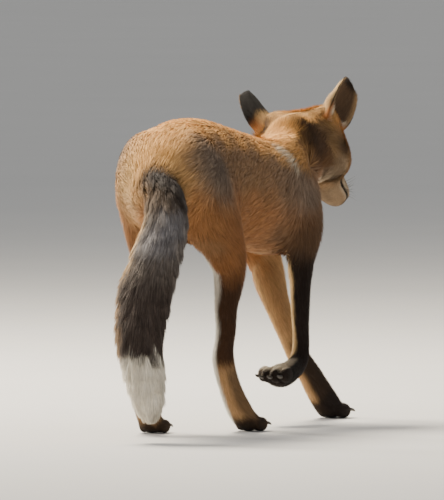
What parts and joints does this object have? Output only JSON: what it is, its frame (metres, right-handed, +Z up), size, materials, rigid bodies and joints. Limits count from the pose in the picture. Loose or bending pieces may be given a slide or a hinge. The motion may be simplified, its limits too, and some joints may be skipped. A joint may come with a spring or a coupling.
{
  "type": "red fox",
  "caption": "Life-size red fox as a still museum model, walking with one forepaw lifted and curled, head low and tilted, brush hanging to a pale tip.",
  "frame": {"origin": "on the floor under the middle of the fox's box; the soles lie at z = 0", "axes": "+Z up; the fox faces -Y; its left side is +X"},
  "size_m": [0.1438, 0.6186, 0.3974],
  "materials": {
    "russet_coat": "soft matte fur",
    "flank_coat": "soft matte fur",
    "smoke_coat": "soft matte fur",
    "black_coat": "soft matte fur",
    "cream_coat": "soft matte fur",
    "eye": "polished eye",
    "nose_leather": "damp satin leather",
    "claw_horn": "satin horn"
  },
  "bodies": {
    "root": {"trunk_rump": "russet_coat", "trunk_loin": "russet_coat", "trunk_chest": "flank_coat", "neck": "flank_coat", "jaw": "cream_coat", "head": "russet_coat", "nose": "nose_leather", "eye_left": "eye", "ear_left": "black_coat", "eye_right": "eye", "ear_right": "black_coat", "tail_1": "smoke_coat", "tail_2": "smoke_coat", "tail_3": "smoke_coat", "tail_4": "cream_coat", "fore_left_upper_arm": "flank_coat", "fore_left_forearm": "black_coat", "fore_left_paw": "black_coat", "fore_left_claw_1": "claw_horn", "fore_left_claw_2": "claw_horn", "fore_left_claw_3": "claw_horn", "fore_left_claw_4": "claw_horn", "fore_right_upper_arm": "flank_coat", "fore_right_forearm": "black_coat", "fore_right_paw": "black_coat", "fore_right_claw_1": "claw_horn", "fore_right_claw_2": "claw_horn", "fore_right_claw_3": "claw_horn", "fore_right_claw_4": "claw_horn", "hind_left_thigh": "flank_coat", "hind_left_shank": "black_coat", "hind_left_paw": "black_coat", "hind_left_claw_1": "claw_horn", "hind_left_claw_2": "claw_horn", "hind_left_claw_3": "claw_horn", "hind_left_claw_4": "claw_horn", "hind_right_thigh": "flank_coat", "hind_right_shank": "black_coat", "hind_right_paw": "black_coat", "hind_right_claw_1": "claw_horn", "hind_right_claw_2": "claw_horn", "hind_right_claw_3": "claw_horn", "hind_right_claw_4": "claw_horn"}
  },
  "joints": []
}
